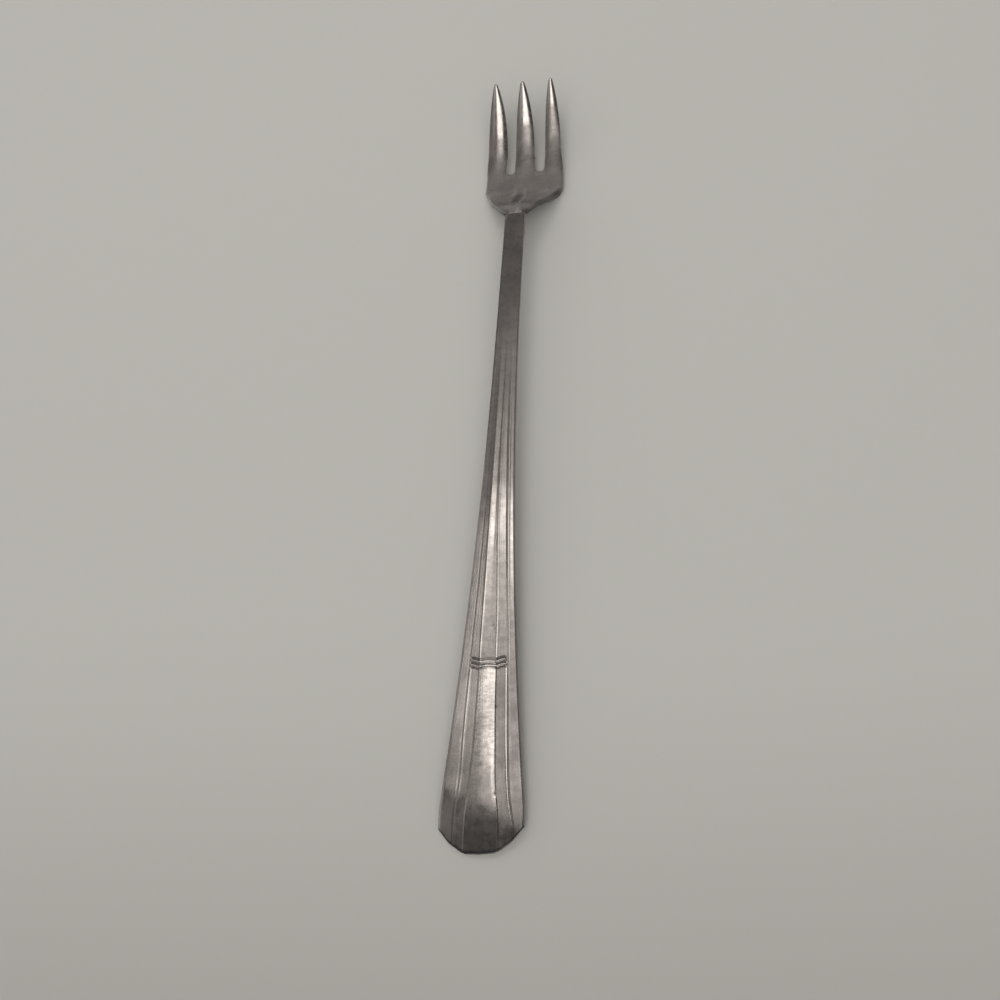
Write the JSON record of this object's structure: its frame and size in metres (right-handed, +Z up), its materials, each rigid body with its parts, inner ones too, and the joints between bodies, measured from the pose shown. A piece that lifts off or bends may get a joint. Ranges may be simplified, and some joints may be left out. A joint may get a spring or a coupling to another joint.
{
  "type": "oyster fork",
  "caption": "Small table fork with short pointed tines, sloping shoulders, a slim stem and a fluted grip that widens to a clipped end.",
  "frame": {"origin": "on the resting surface, under the middle of the fork's length and width", "axes": "+Y from the grip end to the tine points, +Z up out of the face of the fork, +X across it"},
  "size_m": [0.0152, 0.1538, 0.0085],
  "materials": {
    "steel": "worn satin steel with fine scratches and small pits",
    "braze": "rough, slightly paler bead of brazing metal"
  },
  "bodies": {
    "root": {"handle": "steel", "tine_head": "steel", "neck_braze": "braze"}
  },
  "joints": []
}
